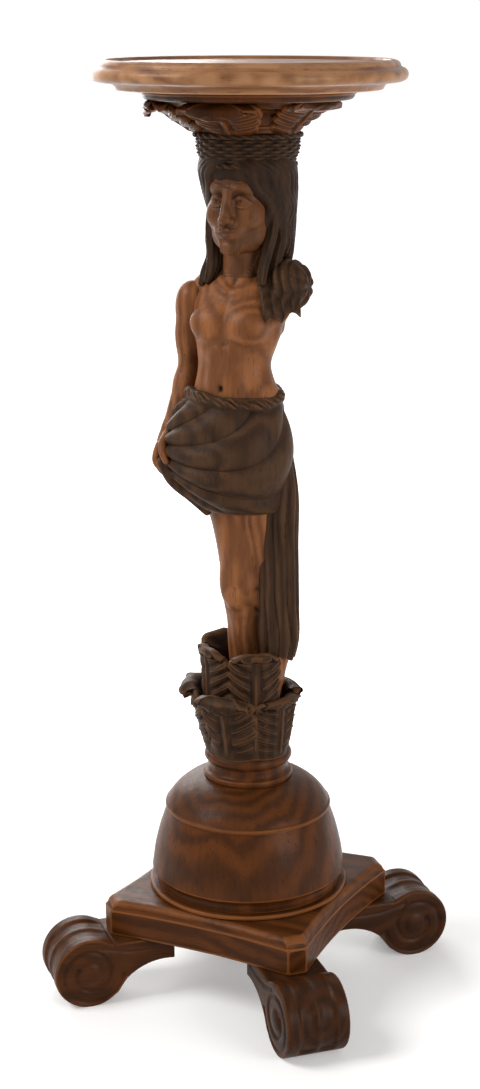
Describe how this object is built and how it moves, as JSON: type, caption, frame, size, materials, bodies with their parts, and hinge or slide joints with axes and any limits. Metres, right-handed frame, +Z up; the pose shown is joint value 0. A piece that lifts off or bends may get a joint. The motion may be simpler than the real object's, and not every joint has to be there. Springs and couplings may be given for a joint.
{
  "type": "carved plant stand",
  "caption": "Tall carved pedestal: a round top carried by a draped standing figure on leaves, over a turned drum, a square plate and scroll feet.",
  "frame": {"origin": "centre of the footprint, on the floor", "axes": "+Z up along the axis of the stand; the figure looks along -Y, and +X is its left"},
  "size_m": [0.3592, 0.3592, 0.96],
  "materials": {
    "walnut_figure": "waxed, warm brown, lighter on the high spots",
    "walnut_dark": "stained nearly black-brown, waxed, worn brown on the ridges",
    "walnut_base": "polished red-brown with darker recesses",
    "walnut_top": "polished mid brown, lighter along the worn rim",
    "beech_dowel": "plain turned dowel",
    "steel_hardware": "plain steel"
  },
  "bodies": {
    "root": {"torso": "walnut_figure", "right_arm": "walnut_figure", "legs": "walnut_figure", "head": "walnut_dark", "head_basket": "walnut_dark", "shoulder_cloak": "walnut_dark", "hip_drapery": "walnut_dark", "cloak_tail": "walnut_dark", "lower_leaf_1": "walnut_dark", "lower_leaf_2": "walnut_dark", "lower_leaf_3": "walnut_dark", "lower_leaf_4": "walnut_dark", "lower_leaf_5": "walnut_dark", "upper_leaf_1": "walnut_dark", "upper_leaf_2": "walnut_dark", "upper_leaf_3": "walnut_dark", "upper_leaf_4": "walnut_dark", "figure_plinth": "walnut_base", "dome_cap": "walnut_base", "drum": "walnut_base", "drum_ring": "walnut_base", "base_plate": "walnut_base", "front_left_foot": "walnut_base", "front_right_foot": "walnut_base", "back_left_foot": "walnut_base", "back_right_foot": "walnut_base", "capital": "walnut_base", "top_board": "walnut_top", "foot_pegs": "beech_dowel", "waist_dowel": "beech_dowel", "neck_dowel": "beech_dowel", "arm_dowel": "beech_dowel", "head_dowel": "beech_dowel", "leaf_pins": "beech_dowel", "tie_rod": "steel_hardware", "tie_nut": "steel_hardware", "tie_washer": "steel_hardware", "drum_screws": "steel_hardware", "top_screws": "steel_hardware"}
  },
  "joints": []
}
